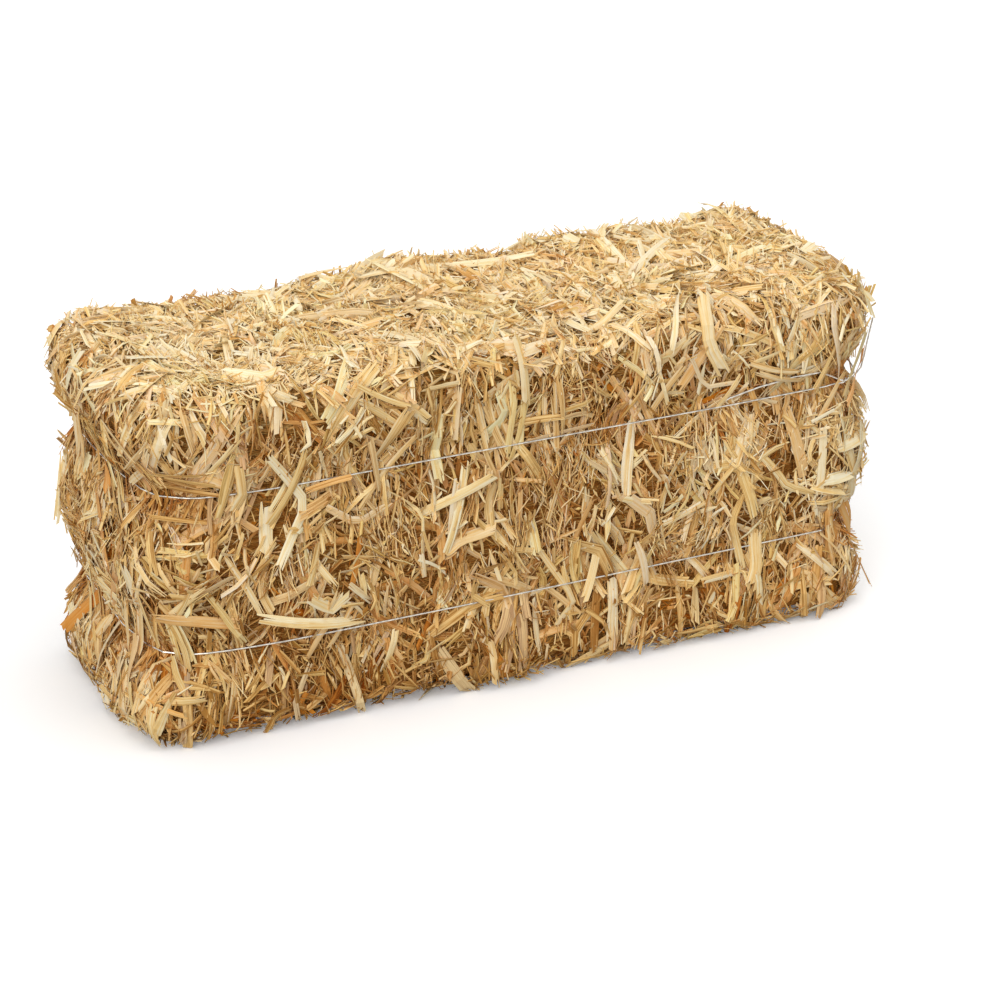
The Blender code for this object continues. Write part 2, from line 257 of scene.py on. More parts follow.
LOOSE = (
    LooseStraw(Side.FRONT, 0.44, 0.75, 20, 0.050, 0.0070, 0.56, 0.60, 4),
    LooseStraw(Side.FRONT, 0.48, 0.75, -12, 0.055, 0.0060, 0.62, 0.30, 4),
    LooseStraw(Side.FRONT, 0.52, 0.76, 6, 0.050, 0.0060, 0.56, 0.50, 4),
    LooseStraw(Side.FRONT, 0.81, 0.75, 70, 0.050, 0.0060, 0.66, 0.50, 2),
    LooseStraw(Side.FRONT, 0.90, 0.74, -30, 0.050, 0.0060, 0.56, 0.80, 3),
    LooseStraw(Side.FRONT, 0.05, 0.71, 72, 0.055, 0.0040, 0.30, 0.90, 6),
    LooseStraw(Side.FRONT, 0.10, 0.73, -20, 0.050, 0.0060, 0.50, 0.30, 3),
    LooseStraw(Side.LEFT_END, 0.10, 0.74, 60, 0.060, 0.0040, 0.36, 0.85, 6),
    LooseStraw(Side.LEFT_END, 0.14, 0.79, 66, 0.070, 0.0050, 0.56, 0.50, 7),
    LooseStraw(Side.LEFT_END, 0.40, 0.78, 78, 0.060, 0.0050, 0.52, 0.30, 6),
    LooseStraw(Side.FRONT, 0.03, 0.27, 20, 0.050, 0.0070, 0.60, 0.40, 4),
    LooseStraw(Side.FRONT, 0.24, 0.27, -30, 0.045, 0.0060, 0.60, 0.60, 3),
    LooseStraw(Side.FRONT, 0.55, 0.28, 15, 0.045, 0.0060, 0.60, 0.40, 3),
    LooseStraw(Side.FRONT, 0.92, 0.27, 10, 0.045, 0.0060, 0.60, 0.70, 3),
    LooseStraw(Side.LEFT_END, 0.30, 0.73, 20, 0.060, 0.0070, 0.66, 0.30, 4),
    LooseStraw(Side.LEFT_END, 0.65, 0.73, -10, 0.060, 0.0070, 0.70, 0.50, 4),
    LooseStraw(Side.LEFT_END, 0.20, 0.28, -15, 0.060, 0.0070, 0.62, 0.60, 4),
    LooseStraw(Side.LEFT_END, 0.60, 0.27, 10, 0.060, 0.0070, 0.70, 0.30, 4),
)


@dataclass(frozen=True)
class WireLevel:
    """Where one tie wire presses the straw in.

    Attributes:
        node: The wire's node in the frame.
        lift: Highest that straw may lie under the wire, from the skin.
        reach: Height over which the straw is pressed down.
        shaded: Height over which the crease lies in shade.
        drop: How far below the wire that shade is deepest.
        shades: Depth of that shade on the long sides, and how much more there
            is on the ends and at the upright corners.
        foot: Height of the wire's level run over its own lowest point.
    """

    node: str
    lift: float = -0.0012
    reach: float = 0.008
    shaded: float = 0.015
    drop: float = 0.004
    shades: Triple = (0.10, 0.27, 0.32)
    foot: float = 0.0035

    @property
    def height(self) -> float:
        """Height of the wire's level run, from its lowest point in the frame."""
        low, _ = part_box(self.node)
        return low[2] + self.foot

    def press(self, heights: Array, lifts: Array, upright: Array) -> Array:
        """Presses straw down where it runs under the wire.

        Args:
            heights: Height of each point.
            lifts: Its lift from the skin.
            upright: 1 where the skin is upright, 0 where it lies level.

        Returns:
            The new lifts.
        """
        grip = np.exp(-((heights - self.height) / self.reach) ** 2) * upright
        return lifts + grip * (np.minimum(lifts, self.lift) - lifts)

    def shade(self, places: Array, facings: Array) -> Array:
        """Works out the painted shade of the crease that the wire draws in.

        Args:
            places: Places on the skin.
            facings: Direction that the skin faces there.

        Returns:
            The shades, deepest round the ends.
        """
        near = np.exp(-((places[:, 2] - self.height + self.drop) / self.shaded) ** 2)
        corner = np.minimum(np.abs(facings[:, 0] * facings[:, 1]) * 2.8, 1.0)
        long_side, at_end, at_corner = self.shades
        return near * (long_side + at_end * np.abs(facings[:, 0]) + at_corner * corner)


class Ties:
    """The tie wires together: they press straw in, and loose straw lies over them.

    BESIDE is how near to a wire's point a straw crosses it, CLEARANCE is how far
    above the wire it then lies, and MOST is the most that it is raised.
    """

    BESIDE = 0.006
    CLEARANCE = 0.0012
    MOST = 0.009

    def __init__(self, wires: tuple[WireLevel, ...]) -> None:
        """Reads the wires' points from the frame."""
        self.wires = wires
        points = [vert.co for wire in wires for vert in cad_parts[wire.node].data.vertices]
        self.tree = KDTree(len(points))
        for index, point in enumerate(points):
            self.tree.insert(point, index)
        self.tree.balance()

    def press(self, heights: Array, lifts: Array, upright: Array) -> Array:
        """The lifts of straw that both wires press in; see WireLevel.press()."""
        for wire in self.wires:
            lifts = wire.press(heights, lifts, upright)
        return lifts

    def shade(self, places: Array, facings: Array) -> Array:
        """The painted shade of both wires' creases; see WireLevel.shade()."""
        return np.maximum.reduce([wire.shade(places, facings) for wire in self.wires])

    def rise_over(self, paths: Array, facings: Array) -> Array:
        """How far each straw has to rise to lie over the wires.

        Args:
            paths: Points along each straw as (straw, point, 3).
            facings: Direction that each straw's side faces.

        Returns:
            One rise for each straw, 0 where it crosses no wire.
        """
        rises = np.zeros(len(paths))
        for row, (path, facing) in enumerate(zip(paths, facings)):
            for point in path:
                nearest = np.array(self.tree.find(point)[0]) - point
                out = float(nearest @ facing)
                if np.linalg.norm(nearest - out * facing) < self.BESIDE:
                    rises[row] = max(rises[row], out + self.CLEARANCE)
        return np.minimum(rises, self.MOST)


class Skin:
    """The smooth outer form of all the flakes together, that straws lie on.

    ON_TOP and UNDERNEATH are how thickly straw is spread there, against the
    sides, and LEVEL is how far up or down those parts of the skin face.
    """

    VOXEL = 0.006
    SMOOTHING = 5
    LEVEL = 0.8
    ON_TOP = 1.4
    UNDERNEATH = 0.4

    def __init__(self, nodes: list[bpy.types.Object]) -> None:
        """Fuses the flakes into one closed skin.

        Args:
            nodes: The flakes' objects in the frame.
        """
        self.mesh = self._fused(nodes)
        self.points = read(self.mesh.vertices, "co", 3)
        normals = read(self.mesh.vertices, "normal", 3)
        self.mesh.calc_loop_triangles()
        self.triangles = read(self.mesh.loop_triangles, "vertices", 3, np.int32)
        self.facings = unit(normals[self.triangles].mean(axis=1))
        self.tree = BVHTree.FromPolygons(self.points.tolist(), self.triangles.tolist())
        corners = self.points[self.triangles]
        cross = np.cross(corners[:, 1] - corners[:, 0], corners[:, 2] - corners[:, 0])
        self.areas = np.linalg.norm(cross, axis=1) / 2
        self.area = float(self.areas.sum())

    def _fused(self, nodes: list[bpy.types.Object]) -> bpy.types.Mesh:
        """Joins copies of the flakes, remeshes them and smooths the result.

        Args:
            nodes: The flakes' objects in the frame.

        Returns:
            One closed mesh.
        """
        shape = bmesh.new()
        for node in nodes:
            shape.from_mesh(node.data)
        bmesh.ops.remove_doubles(shape, verts=shape.verts, dist=1e-5)
        joined = bpy.data.meshes.new("skin")
        shape.to_mesh(joined)
        shape.free()
        holder = in_scene("skin", joined)
        remesh = holder.modifiers.new("fuse", "REMESH")
        remesh.mode = "VOXEL"
        remesh.voxel_size = self.VOXEL
        smooth = holder.modifiers.new("smooth", "SMOOTH")
        smooth.factor = 0.5
        smooth.iterations = self.SMOOTHING
        evaluated = holder.evaluated_get(bpy.context.evaluated_depsgraph_get())
        fused = bpy.data.meshes.new_from_object(evaluated)
        bpy.data.objects.remove(holder)
        return fused

    def sample(self, count: int, rng: Rng) -> tuple[Array, Array]:
        """Random points all over the skin, more of them on top and fewer underneath.

        Args:
            count: How many points.
            rng: Source of randomness.

        Returns:
            The points and the directions that the skin faces there.
        """
        corners = self.points[self.triangles]
        rise = self.facings[:, 2]
        raised = np.where(rise > self.LEVEL, self.ON_TOP, 1.0)
        weight = self.areas * np.where(rise < -self.LEVEL, self.UNDERNEATH, raised)
        chosen = rng.choice(len(weight), count, p=weight / weight.sum())
        first, second = np.sqrt(rng.random(count)), rng.random(count)
        mix = np.stack([1 - first, first * (1 - second), first * second], axis=1)
        points = np.einsum("nk,nkd->nd", mix, corners[chosen])
        return points, self.facings[chosen]

    def box(self) -> tuple[Array, Array]:
        """The skin's lowest and highest corners."""
        return self.points.min(axis=0), self.points.max(axis=0)

    def nearest(self, points: Array) -> tuple[Array, Array]:
        """Finds the closest points of the skin.

        Args:
            points: Points in rows of any shape, with 3 numbers each.

        Returns:
            The closest points, and the directions that the skin faces there.
        """
        flat = points.reshape(-1, 3)
        found = np.empty_like(flat)
        index = np.empty(len(flat), dtype=np.int64)
        for row, point in enumerate(flat.tolist()):
            place, _, face, _ = self.tree.find_nearest(point)
            found[row] = place
            index[row] = face
        return found.reshape(points.shape), self.facings[index].reshape(points.shape)


class StrawMesh:
    """Gathers straw pieces and turns them into one mesh.

    No point of it lies lower than LOWEST, just off the ground.
    """

    LOWEST = 0.0004

    def __init__(self) -> None:
        """Starts with no straw."""
        self.points: list[Array] = []
        self.quads: list[Array] = []
        self.quad_uvs: list[Array] = []
        self.caps: list[Array] = []
        self.cap_uvs: list[Array] = []
        self.looks: list[Array] = []
        self.count = 0

    def add(self, rings: Array, uvs: Array, looks: Array) -> None:
        """Adds pieces that are tubes with flat ends.

        Args:
            rings: Points as (piece, ring, point of section, 3).
            uvs: Texture places as (piece, ring, point of section + 1, 2).
            looks: Tone, tint and shade of each piece as (piece, 3).
        """
        pieces, length, around, _ = rings.shape
        index = self.count + np.arange(pieces * length * around).reshape(pieces, length, around)
        after = np.roll(index, -1, axis=2)
        quads = np.stack([index[:, :-1], after[:, :-1], after[:, 1:], index[:, 1:]], axis=-1)
        places = np.stack([uvs[:, :-1, :-1], uvs[:, :-1, 1:], uvs[:, 1:, 1:], uvs[:, 1:, :-1]], axis=-2)
        self.quads.append(quads.reshape(-1, 4))
        self.quad_uvs.append(places.reshape(-1, 4, 2))
        for ends, turned in ((0, True), (-1, False)):
            cap, place = index[:, ends], uvs[:, ends, :-1]
            self.caps.append(cap[:, ::-1] if turned else cap)
            self.cap_uvs.append(place[:, ::-1] if turned else place)
        self._add_points(rings, looks)

    def add_pointed(self, rings: Array, tips: Array, uvs: Array, looks: Array) -> None:
        """Adds pieces that run from one ring to a point at both ends.

        Args:
            rings: The middle ring as (piece, point of section, 3).
            tips: Both ends as (piece, 2, 3).
            uvs: Texture places as (piece, point of section + 3, 2).
            looks: Tone, tint and shade of each piece as (piece, 3).
        """
        pieces, around, _ = rings.shape
        step = around + 2
        index = self.count + np.arange(pieces * step).reshape(pieces, step)
        ring, start, end = index[:, :around], index[:, around], index[:, around + 1]
        for number in range(around):
            here, after = ring[:, number], ring[:, (number + 1) % around]
            place, following = uvs[:, number], uvs[:, number + 1]
            self.caps.append(np.stack([start, after, here], axis=1))
            self.cap_uvs.append(np.stack([uvs[:, around + 1], following, place], axis=1))
            self.caps.append(np.stack([end, here, after], axis=1))
            self.cap_uvs.append(np.stack([uvs[:, around + 2], place, following], axis=1))
        self._add_points(np.concatenate([rings, tips], axis=1), looks)

    def _add_points(self, points: Array, looks: Array) -> None:
        """Keeps the points of some pieces.

        Args:
            points: Points as (piece, point, 3), or in rings.
            looks: Tone, tint and shade of each piece as (piece, 3).
        """
        pieces = len(points)
        flat = points.reshape(-1, 3)
        self.points.append(flat)
        self.looks.append(np.repeat(looks, len(flat) // max(pieces, 1), axis=0))
        self.count += len(flat)

    def build(self, name: str) -> bpy.types.Object:
        """Makes the mesh object.

        Args:
            name: Name of the object and its mesh.

        Returns:
            The new object, linked and at the origin.
        """
        polygons = self.quads + self.caps
        uvs = self.quad_uvs + self.cap_uvs
        sizes = np.concatenate([np.full(len(part), part.shape[1]) for part in polygons])
        corners = np.concatenate([part.reshape(-1) for part in polygons])
        starts = np.concatenate([[0], np.cumsum(sizes)[:-1]])
        points = np.concatenate(self.points)
        points[:, 2] = np.maximum(points[:, 2], self.LOWEST)
        mesh = bpy.data.meshes.new(name)
        mesh.vertices.add(len(points))
        write(mesh.vertices, "co", points)
        mesh.loops.add(len(corners))
        write(mesh.loops, "vertex_index", corners, np.int32)
        mesh.polygons.add(len(sizes))
        write(mesh.polygons, "loop_start", starts, np.int32)
        mesh.update(calc_edges=True)
        layer = mesh.uv_layers.new(name=STRAW_UV)
        write(layer.data, "uv", np.concatenate([part.reshape(-1, 2) for part in uvs]))
        look = mesh.color_attributes.new(STRAW_LOOK, "FLOAT_COLOR", "POINT")
        colours = np.concatenate(self.looks)
        write(look.data, "color", np.concatenate([colours, np.ones((len(colours), 1))], axis=1))
        mesh.validate()
        mesh.shade_flat()
        return in_scene(name, mesh)


def compass(facings: Array) -> tuple[Array, Array]:
    """Finds two directions on the skin.

    Args:
        facings: Directions that the skin faces.

    Returns:
        The way up the skin, or along the bale where it is level, and the way
        across that.
    """
    level = np.abs(facings[..., 2:]) > 0.8
    rise = np.where(level, np.array([1.0, 0.0, 0.0]), np.array([0.0, 0.0, 1.0]))
    rise = unit(rise - facings * np.sum(rise * facings, axis=-1, keepdims=True))
    return rise, np.cross(facings, rise)


def heading(facings: Array, turns: Array) -> Array:
    """The directions on the skin that these turns from the way up it point."""
    rise, aside = compass(facings)
    return np.cos(turns)[:, None] * rise + np.sin(turns)[:, None] * aside


@dataclass
class Laying:
    """How each of many pieces of straw lies.

    Attributes:
        centres: Middle of each piece on the skin.
        facings: Direction that the skin faces there.
        turns: Turn of each piece from the way up the skin.
        lifts: Lift of each middle from the skin.
        tilts: How much higher its far end lies than its middle.
        rolls: Turn about its own length.
        tones: Lightness, from 0 to 1.
        tints: Place among the tints, from grey at 0 to golden at 1.
        kinks: Angle of the fold in each piece, 0 where it has none.
        knees: Where the fold is, from -0.5 to 0.5 of the length.
    """

    centres: Array
    facings: Array
    turns: Array
    lifts: Array
    tilts: Array
    rolls: Array
    tones: Array
    tints: Array
    kinks: Array
    knees: Array


@dataclass
class Bundles:
    """Bundles of one kind: straws that run one way and lie at one depth.

    Attributes:
        skin: What they lie on.
        rng: Source of randomness.
        kind: How the straws of a bundle lie together.
        density: Bundles for each square metre.
        reach: Spread of the pieces about the middle, along and across.
        jitter: Spread of the pieces' turns, in radians.
        splay: How much the turn changes from side to side, in radians a metre.
        height: Lowest and highest a bundle lies, from 0 to 1 of its cut's lift.

    On an upright side a sheaf runs nearly upright, within UPRIGHT radians. It
    shows its edges, turned by ON_EDGE radians, and it is darker by DARKER.
    STAYING is the share of the pieces that take their bundle's tint.
    """

    skin: Skin
    rng: Rng
    kind: Bundling
    density: float
    reach: Pair
    jitter: float
    splay: float
    height: Pair

    UPRIGHT = 0.30
    ON_EDGE = (0.6, 1.2)
    DARKER = 0.08
    STAYING = 0.6

    def __post_init__(self) -> None:
        """Spreads the bundles over the skin."""
        rng = self.rng
        count = round(self.density * self.skin.area)
        centres, facings = self.skin.sample(count, rng)
        turns, rolls = turns_for(facings, rng), rng.normal(0.0, 0.28, count)
        tones, tints = rng.normal(0.0, 0.10, count), rng.random(count)
        if self.kind is Bundling.SHEAF:
            upright = np.abs(facings[:, 2]) < 0.6
            turns = np.where(upright, rng.normal(0.0, self.UPRIGHT, count), turns)
            edge = rng.choice([-1.0, 1.0], count) * rng.uniform(*self.ON_EDGE, count)
            rolls = np.where(upright, edge, rolls)
            tones = tones - self.DARKER * upright
            tints = np.where(upright, 0.5 + 0.5 * tints, tints)
        none = np.zeros(count)
        self.splays = rng.normal(0.0, self.splay, count)
        self.laying = Laying(centres, facings, turns, rng.uniform(*self.height, count),
                             rng.normal(0.0, 0.5, count), rolls, tones, tints, none, none)

    def gather(self, laying: Laying, chosen: Array, cut: StrawCut) -> None:
        """Moves some of the pieces into these bundles.

        Args:
            laying: How the pieces lie; changed.
            chosen: Which pieces are moved.
            cut: Their size.
        """
        rng, mine, count = self.rng, self.laying, len(chosen)
        bundle = rng.integers(len(mine.turns), size=count)
        along = heading(mine.facings[bundle], mine.turns[bundle])
        across = np.cross(mine.facings[bundle], along)
        spread = rng.normal(0.0, 1.0, (count, 2)) * self.reach
        place = mine.centres[bundle] + along * spread[:, :1] + across * spread[:, 1:]
        laying.centres[chosen], laying.facings[chosen] = self.skin.nearest(place)
        laying.turns[chosen] = (mine.turns[bundle] + spread[:, 1] * self.splays[bundle]
                                + rng.normal(0.0, self.jitter, count))
        deep, high = cut.lift
        level = np.clip(mine.lifts[bundle] + rng.normal(0.0, 0.20, count), 0.0, 1.0)
        laying.lifts[chosen] = deep + (high - deep) * level
        laying.tilts[chosen] = cut.tilt * (mine.tilts[bundle] + rng.normal(0.0, 0.25, count))
        laying.rolls[chosen] = mine.rolls[bundle] + rng.normal(0.0, 0.6 * cut.roll, count)
        laying.tones[chosen] += mine.tones[bundle]
        blend = rng.random(count) < self.STAYING
        laying.tints[chosen] = np.where(blend, mine.tints[bundle], laying.tints[chosen])


def turns_for(facings: Array, rng: Rng) -> Array:
    """Turns straws more across than along the bale on top, mostly upright elsewhere.

    Args:
        facings: Direction that the skin faces under each straw.
        rng: Source of randomness.

    Returns:
        Turns from the way up the skin, in radians.
    """
    end_spread, side_spread = 0.45, 0.60
    end_free, side_free = 0.20, 0.35
    across_more = 1.7
    count = len(facings)
    level = np.abs(facings[:, 2]) > 0.7
    at_end = np.abs(facings[:, 0]) > 0.7
    turn = rng.normal(0.0, 1.0, count) * np.where(at_end, end_spread, side_spread)
    free = rng.random(count) < np.where(level, 1.0, np.where(at_end, end_free, side_free))
    any_way = rng.uniform(-math.pi / 2, math.pi / 2, count)
    across = np.arctan(across_more * np.tan(any_way))
    return np.where(free, np.where(level, across, any_way), turn)


@dataclass
class StrawBatch:
    """Many straw pieces of one cut, ready to be shaped.

    Attributes:
        cut: Their size and section.
        laying: How they lie.
        lengths: Length of each piece.
        widths: Width of each piece.
        looks: Tone, tint and shade of each piece.

    MOST_RAISED is how far a straw on top is raised over lumps, and MOST_OUT how
    far any point may stand off the skin. A piece that strays further than
    MOST_STRAYED bends towards it. BOW and SWEEP are the spreads of its bend off
    the skin and along it, as shares of its length, and TWIST that of its twist,
    in radians. The ribs' widths are more alike with a higher
    EVENNESS, and waver along the piece by WAVER. A share TORN of the rib ends
    keep TORN_LEFT of their width, and the others WHOLE_LEFT. Ends slope by up
    to SLANT and stand out by STAGGER in metres. RIB_TONE is the spread of the
    ribs' lightness. RIB_STEP and UV_RANGE set the ribs' places apart in the
    fibres' pattern.
    """

    cut: StrawCut
    laying: Laying
    lengths: Array
    widths: Array
    looks: Array

    MOST_RAISED = 0.004
    MOST_STRAYED = 0.010
    MOST_OUT = 0.013
    BOW = 0.03
    SWEEP = 0.028
    TWIST = 0.22
    EVENNESS = 7.0
    WAVER = (0.94, 1.10)
    TORN = 0.25
    TORN_LEFT = (0.15, 0.6)
    WHOLE_LEFT = (0.80, 1.0)
    SLANT = 1.3
    STAGGER = (-0.003, 0.005)
    RIB_TONE = 0.09
    RIB_STEP = 0.011
    UV_RANGE = 20.0

    def shape(self, skin: Skin, ties: Ties, rng: Rng) -> "ShapedStraw":
        """Lays each piece on the skin and gives it its section.

        Args:
            skin: What the pieces lie on.
            ties: The wires, which press them in or lie under them.
            rng: Source of randomness.

        Returns:
            The pieces' points.
        """
        lie = self.laying
        count = len(lie.turns)
        rings = self.cut.rings + (2 if self.cut.pointed else 0)
        steps = np.linspace(-0.5, 0.5, rings)
        along = heading(lie.facings, lie.turns)
        straight = lie.centres[:, None] + along[:, None] * (
            steps[None, :, None] * self.lengths[:, None, None])
        found, facing = skin.nearest(straight)
        bow = rng.normal(0.0, self.BOW, count) * self.lengths
        lift = lie.lifts[:, None] + lie.tilts[:, None] * 2 * steps + bow[:, None] * (1 - 4 * steps ** 2)
        if self.cut.rests:
            height = np.sum((straight - found) * lie.facings[:, None], axis=-1)
            lift = lift + np.clip(-height.min(axis=1), 0.0, self.MOST_RAISED)[:, None]
            path = straight + lie.facings[:, None] * lift[..., None]
            lift = lift + ties.rise_over(path, lie.facings)[:, None]
        else:
            lift = ties.press(found[..., 2], lift, 1.0 - np.abs(facing[..., 2]))
        laid = found + facing * lift[..., None]
        least, most = self.cut.bridging
        loose = least + (most - least) * rng.random(count) ** 2
        stray = np.linalg.norm(straight - found, axis=-1).max(axis=1)
        loose *= np.minimum(self.MOST_STRAYED / np.maximum(stray, 1e-6), 1.0)
        rigid = straight + lie.facings[:, None] * lift[..., None]
        path = laid + loose[:, None, None] * (rigid - laid)
        sideways = np.cross(along, lie.facings)
        sweep = rng.normal(0.0, self.SWEEP, count) * self.lengths
        kink = np.tan(lie.kinks / 2) * self.lengths
        bend = (sweep[:, None] * (1 - 4 * steps ** 2)
                + kink[:, None] * np.abs(steps - lie.knees[:, None]))
        path += sideways[:, None] * bend[..., None]
        return self._sections(self._held_near(path, skin), facing, steps, rng)

    def _held_near(self, path: Array, skin: Skin) -> Array:
        """Brings the points that stand far off the skin back towards it.

        Args:
            path: Points along each piece.
            skin: What the pieces lie on.

        Returns:
            The new points.
        """
        found, facing = skin.nearest(path)
        away = path - found
        far = np.linalg.norm(away, axis=-1, keepdims=True)
        outside = np.sum(away * facing, axis=-1, keepdims=True) > 0.0
        kept = np.where(outside, np.minimum(self.MOST_OUT / np.maximum(far, 1e-9), 1.0), 1.0)
        return found + away * kept

    def _sections(self, path: Array, facing: Array, steps: Array,
                  rng: Rng) -> "ShapedStraw":
        """Sweeps the ribs' sections along each piece's path.

        Args:
            path: Points along each piece.
            facing: Direction that the skin faces at each.
            steps: Their places along the piece, from -0.5 to 0.5.
            rng: Source of randomness.

        Returns:
            The pieces' points, with each rib as a piece of its own.
        """
        cut = self.cut
        count, rings, _ = path.shape
        along = unit(np.gradient(path, axis=1))
        out = unit(facing - along * np.sum(facing * along, axis=-1, keepdims=True))
        across = np.cross(along, out)
        roll = self.laying.rolls[:, None] + rng.normal(0.0, self.TWIST, count)[:, None] * 2 * steps
        cosine, sine = np.cos(roll)[..., None], np.sin(roll)[..., None]
        across, out = cosine * across + sine * out, cosine * out - sine * across

        shares = rng.dirichlet(np.full(cut.ribs, self.EVENNESS), count)
        edges = np.concatenate([np.zeros((count, 1)), np.cumsum(shares, axis=1)], axis=1) * 2 - 1
        section = np.array(cut.section.value)
        offset = rng.random((count, 2)) * self.UV_RANGE
        wide = self.widths[:, None, None]
        shaped = []
        for rib in range(cut.ribs):
            middle = np.repeat((edges[:, rib] + edges[:, rib + 1])[:, None] / 2, rings, axis=1)
            half = np.repeat((edges[:, rib + 1] - edges[:, rib])[:, None] / 2, rings, axis=1)
            half *= rng.uniform(*self.WAVER, half.shape)
            slant = np.zeros((count, rings))
            push = np.zeros((count, rings))
            if not cut.pointed:
                for ring in (0, -1):
                    torn = rng.random(count) < self.TORN
                    left = np.where(torn, rng.uniform(*self.TORN_LEFT, count),
                                    rng.uniform(*self.WHOLE_LEFT, count))
                    middle[:, ring] += rng.uniform(-1.0, 1.0, count) * (1 - left) * half[:, ring]
                    half[:, ring] *= left
                    slant[:, ring] = rng.uniform(-self.SLANT, self.SLANT, count)
                    if cut.ribs > 1:
                        push[:, ring] = rng.uniform(*self.STAGGER, count) * (1 if ring else -1)
            spread = middle[..., None] + section[:, 0] * half[..., None]
            aside = spread * wide / 2
            rise = (1 - spread ** 2) * cut.arch * wide / 2
            rise = rise - (1 - section[:, 1]) * cut.thickness
            shift = section[:, 0] * half[..., None] * slant[..., None] * wide / 2 + push[..., None]
            points = (path[:, :, None] + across[:, :, None] * aside[..., None]
                      + out[:, :, None] * rise[..., None] + along[:, :, None] * shift[..., None])
            around = np.linspace(0.0, 1.0, len(section) + 1)
            uvs = np.empty((count, rings, len(section) + 1, 2))
            uvs[..., 0] = offset[:, None, None, 0] + (self.lengths[:, None] * steps)[..., None]
            uvs[..., 1] = offset[:, None, None, 1] + self.RIB_STEP * rib + around * wide * 2 / cut.ribs
            looks = self.looks.copy()
            looks[:, 0] = np.clip(looks[:, 0] + rng.normal(0.0, self.RIB_TONE, count), 0.0, 1.0)
            shaped.append((points, uvs, looks))
        points, uvs, looks = (np.concatenate(part) for part in zip(*shaped))
        return ShapedStraw(cut.pointed, points, path, uvs, looks,
                           np.tile(self.laying.centres[:, 0], cut.ribs))


@dataclass
class ShapedStraw:
    """The points of many straw pieces.

    Attributes:
        pointed: Whether the pieces run out to points.
        points: Section points as (piece, ring, point of section, 3).
        path: Centre lines as (piece, ring, 3).
        uvs: Texture places as (piece, ring, point of section + 1, 2).
        looks: Tone, tint and shade of each piece.
        places: Where each piece's middle lies along the bale.
    """

    pointed: bool
    points: Array
    path: Array
    uvs: Array
    looks: Array
    places: Array

    def put_in(self, mesh: StrawMesh, low: float, high: float) -> None:
        """Adds the pieces whose middles lie between two places along the bale.

        Args:
            mesh: Where they go; changed.
            low: The first place.
            high: The second.
        """
        chosen = (self.places >= low) & (self.places < high)
        if not self.pointed:
            mesh.add(self.points[chosen], self.uvs[chosen], self.looks[chosen])
            return
        ring = self.points[chosen][:, 1]
        tips = self.path[chosen][:, [0, 2]]
        uvs = self.uvs[chosen]
        places = np.concatenate([uvs[:, 1], uvs[:, 0, :1], uvs[:, 2, :1]], axis=1)
        mesh.add_pointed(ring, tips, places, self.looks[chosen])


